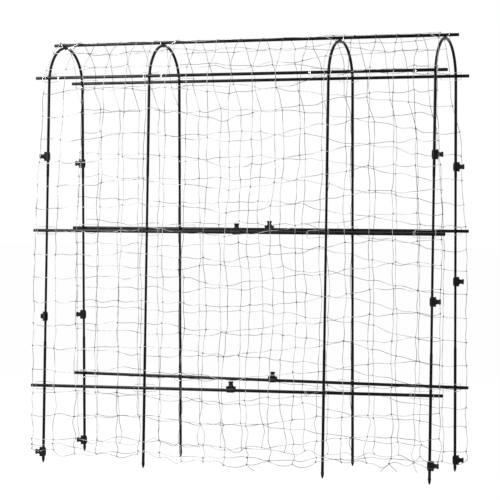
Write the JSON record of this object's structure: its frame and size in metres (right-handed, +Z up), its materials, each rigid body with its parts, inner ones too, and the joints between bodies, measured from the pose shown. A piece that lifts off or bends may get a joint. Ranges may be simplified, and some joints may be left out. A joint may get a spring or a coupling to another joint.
{
  "type": "pea and bean tunnel",
  "caption": "Garden tunnel for climbing peas and beans: round-topped hoops with spiked feet, long side and ridge bars, and a wide-mesh net held by turning clips.",
  "frame": {"origin": "on the ground under the middle of the tunnel, midway between the bars' ends and between the legs", "axes": "+X along the tunnel, towards the picture's right; +Y across it, away from the camera; +Z up"},
  "size_m": [1.826, 0.4552, 1.8218],
  "materials": {
    "tube": "black plastic-coated steel tube, satin",
    "spike": "moulded black plastic, slightly worn",
    "clip": "moulded black plastic, satin",
    "net": "thin pale grey-green knotted twine"
  },
  "bodies": {
    "frame_and_net": {"ground_spike_back_1": "spike", "ground_spike_back_2": "spike", "ground_spike_back_3": "spike", "ground_spike_back_4": "spike", "ground_spike_front_1": "spike", "ground_spike_front_2": "spike", "ground_spike_front_3": "spike", "ground_spike_front_4": "spike", "hoop_arch_1": "tube", "hoop_arch_2": "tube", "hoop_arch_3": "tube", "hoop_arch_4": "tube", "lower_bar_back": "tube", "lower_bar_front": "tube", "lower_leg_back_1": "tube", "lower_leg_back_2": "tube", "lower_leg_back_3": "tube", "lower_leg_back_4": "tube", "lower_leg_front_1": "tube", "lower_leg_front_2": "tube", "lower_leg_front_3": "tube", "lower_leg_front_4": "tube", "middle_bar_back": "tube", "middle_bar_front": "tube", "middle_leg_back_1": "tube", "middle_leg_back_2": "tube", "middle_leg_back_3": "tube", "middle_leg_back_4": "tube", "middle_leg_front_1": "tube", "middle_leg_front_2": "tube", "middle_leg_front_3": "tube", "middle_leg_front_4": "tube", "net_back": "net", "net_front": "net", "net_roof_back": "net", "net_roof_front": "net", "net_roof_top": "net", "ridge_bar": "tube", "upper_bar_back": "tube", "upper_bar_front": "tube"},
    "clip_hoop_1_front_upper": {"net_clip_hoop_1_front_upper": "clip"},
    "clip_hoop_1_front_middle": {"net_clip_hoop_1_front_middle": "clip"},
    "clip_hoop_1_front_lower": {"net_clip_hoop_1_front_lower": "clip"},
    "clip_hoop_1_back_upper": {"net_clip_hoop_1_back_upper": "clip"},
    "clip_hoop_1_back_middle": {"net_clip_hoop_1_back_middle": "clip"},
    "clip_hoop_1_back_lower": {"net_clip_hoop_1_back_lower": "clip"},
    "clip_hoop_4_front_upper": {"net_clip_hoop_4_front_upper": "clip"},
    "clip_hoop_4_front_middle": {"net_clip_hoop_4_front_middle": "clip"},
    "clip_hoop_4_front_lower": {"net_clip_hoop_4_front_lower": "clip"},
    "clip_hoop_4_back_upper": {"net_clip_hoop_4_back_upper": "clip"},
    "clip_hoop_4_back_middle": {"net_clip_hoop_4_back_middle": "clip"},
    "clip_hoop_4_back_lower": {"net_clip_hoop_4_back_lower": "clip"},
    "clip_middle_bar_front": {"net_clip_middle_bar_front": "clip"},
    "clip_middle_bar_back": {"net_clip_middle_bar_back": "clip"},
    "clip_lower_bar_front": {"net_clip_lower_bar_front": "clip"},
    "clip_lower_bar_back": {"net_clip_lower_bar_back": "clip"}
  },
  "joints": [
    {"name": "clip_hoop_1_front_upper_turn", "type": "hinge", "parent": "frame_and_net", "child": "clip_hoop_1_front_upper", "pos_m": [-0.857, -0.17392, 1.32005], "axis": [0, -0.0251, -0.9997], "range_deg": [-5, 135]},
    {"name": "clip_hoop_1_front_middle_turn", "type": "hinge", "parent": "frame_and_net", "child": "clip_hoop_1_front_middle", "pos_m": [-0.857, -0.19121, 0.63001], "axis": [0, -0.0251, -0.9997], "range_deg": [-61, 79]},
    {"name": "clip_hoop_1_front_lower_turn", "type": "hinge", "parent": "frame_and_net", "child": "clip_hoop_1_front_lower", "pos_m": [-0.857, -0.20585, 0.04599], "axis": [0, -0.0251, -0.9997], "range_deg": [-25, 115]},
    {"name": "clip_hoop_1_back_upper_turn", "type": "hinge", "parent": "frame_and_net", "child": "clip_hoop_1_back_upper", "pos_m": [-0.857, 0.17442, 1.29987], "axis": [0, -0.0251, 0.9997], "range_deg": [-25, 115]},
    {"name": "clip_hoop_1_back_middle_turn", "type": "hinge", "parent": "frame_and_net", "child": "clip_hoop_1_back_middle", "pos_m": [-0.857, 0.19146, 0.62025], "axis": [0, -0.0251, 0.9997], "range_deg": [-25, 115]},
    {"name": "clip_hoop_1_back_lower_turn", "type": "hinge", "parent": "frame_and_net", "child": "clip_hoop_1_back_lower", "pos_m": [-0.857, 0.2057, 0.05178], "axis": [0, -0.0251, 0.9997], "range_deg": [-25, 115]},
    {"name": "clip_hoop_4_front_upper_turn", "type": "hinge", "parent": "frame_and_net", "child": "clip_hoop_4_front_upper", "pos_m": [0.86, -0.17392, 1.32005], "axis": [0, 0.0251, 0.9997], "range_deg": [-25, 115]},
    {"name": "clip_hoop_4_front_middle_turn", "type": "hinge", "parent": "frame_and_net", "child": "clip_hoop_4_front_middle", "pos_m": [0.86, -0.1887, 0.73027], "axis": [0, 0.0251, 0.9997], "range_deg": [-25, 115]},
    {"name": "clip_hoop_4_front_lower_turn", "type": "hinge", "parent": "frame_and_net", "child": "clip_hoop_4_front_lower", "pos_m": [0.86, -0.20513, 0.07478], "axis": [0, 0.0251, 0.9997], "range_deg": [-25, 115]},
    {"name": "clip_hoop_4_back_upper_turn", "type": "hinge", "parent": "frame_and_net", "child": "clip_hoop_4_back_upper", "pos_m": [0.86, 0.17493, 1.27969], "axis": [0, 0.0251, -0.9997], "range_deg": [-25, 115]},
    {"name": "clip_hoop_4_back_middle_turn", "type": "hinge", "parent": "frame_and_net", "child": "clip_hoop_4_back_middle", "pos_m": [0.86, 0.18695, 0.79992], "axis": [0, 0.0251, -0.9997], "range_deg": [-25, 115]},
    {"name": "clip_hoop_4_back_lower_turn", "type": "hinge", "parent": "frame_and_net", "child": "clip_hoop_4_back_lower", "pos_m": [0.86, 0.20575, 0.04978], "axis": [0, 0.0251, -0.9997], "range_deg": [-25, 115]},
    {"name": "clip_middle_bar_front_turn", "type": "hinge", "parent": "frame_and_net", "child": "clip_middle_bar_front", "pos_m": [0.024, -0.19497, 1.0008], "axis": [-1, 0, 0], "range_deg": [-90, 90]},
    {"name": "clip_middle_bar_back_turn", "type": "hinge", "parent": "frame_and_net", "child": "clip_middle_bar_back", "pos_m": [0.028, 0.19472, 1.0108], "axis": [1, 0, 0], "range_deg": [-90, 90]},
    {"name": "clip_lower_bar_front_turn", "type": "hinge", "parent": "frame_and_net", "child": "clip_lower_bar_front", "pos_m": [0.01, -0.21141, 0.34496], "axis": [-0.9999, -0.0003, -0.0136], "range_deg": [-90, 90]},
    {"name": "clip_lower_bar_back_turn", "type": "hinge", "parent": "frame_and_net", "child": "clip_lower_bar_back", "pos_m": [0.042, 0.21118, 0.35433], "axis": [1, 0, 0], "range_deg": [-90, 90]}
  ]
}
